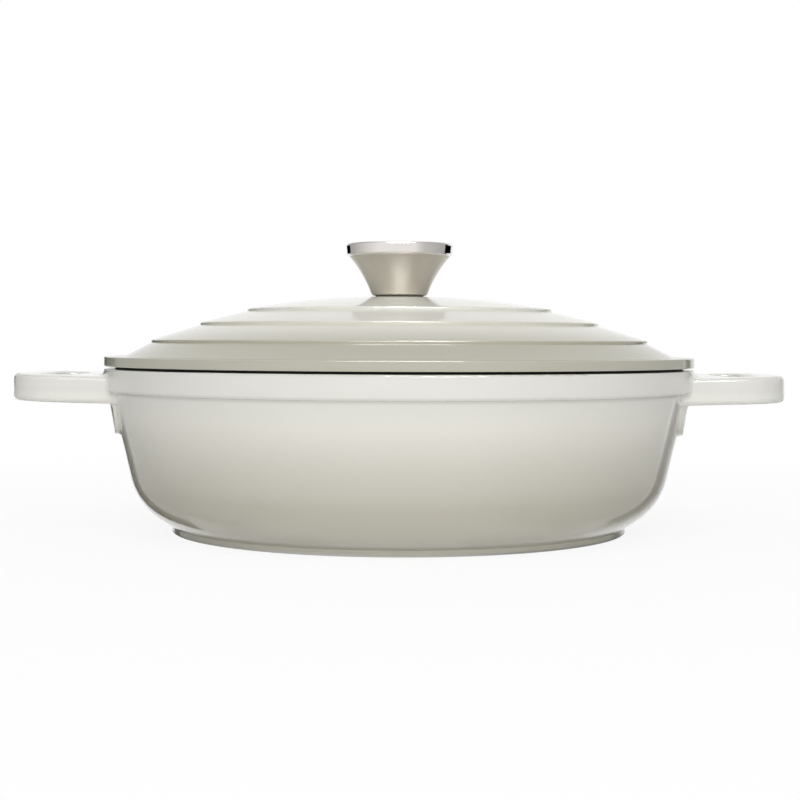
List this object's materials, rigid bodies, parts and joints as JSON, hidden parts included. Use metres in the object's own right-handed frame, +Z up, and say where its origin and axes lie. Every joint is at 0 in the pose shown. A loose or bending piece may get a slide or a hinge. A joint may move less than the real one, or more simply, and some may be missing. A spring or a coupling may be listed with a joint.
{
  "type": "braiser",
  "caption": "Shallow round two-handled braiser with a domed, stepped lift-off lid, a flared steel knob, loop handles with finger slots and an induction base plate.",
  "frame": {"origin": "centre of the base, on the surface that the pot stands on", "axes": "+Z up along the bowl's axis, +X through the handles, +Y to the back as seen in the picture"},
  "size_m": [0.3782, 0.2942, 0.1439],
  "materials": {
    "pot_coating": "cast aluminium with a glossy coating outside, off-white fading to grey-green, and a black non-stick lining",
    "lid_coating": "cast aluminium with a glossy coating outside, off-white fading to grey-green, and a black non-stick lining",
    "base_steel": "turned stainless steel",
    "knob_satin": "satin stainless steel",
    "knob_polished": "polished stainless steel",
    "fastener_steel": "plain stainless steel",
    "silicone": "matt silicone"
  },
  "bodies": {
    "pot": {"pot_body": "pot_coating", "base_plate": "base_steel"},
    "lid": {"lid": "lid_coating", "knob_gasket": "silicone", "knob_body": "knob_satin", "knob_cap": "knob_polished", "knob_insert": "fastener_steel", "knob_screw": "fastener_steel", "spring_washer": "fastener_steel", "screw_washer": "fastener_steel"}
  },
  "joints": [
    {"name": "lid_lift", "type": "slide", "parent": "pot", "child": "lid", "axis": [0, 0, 1], "range_m": [0, 0.15]}
  ]
}
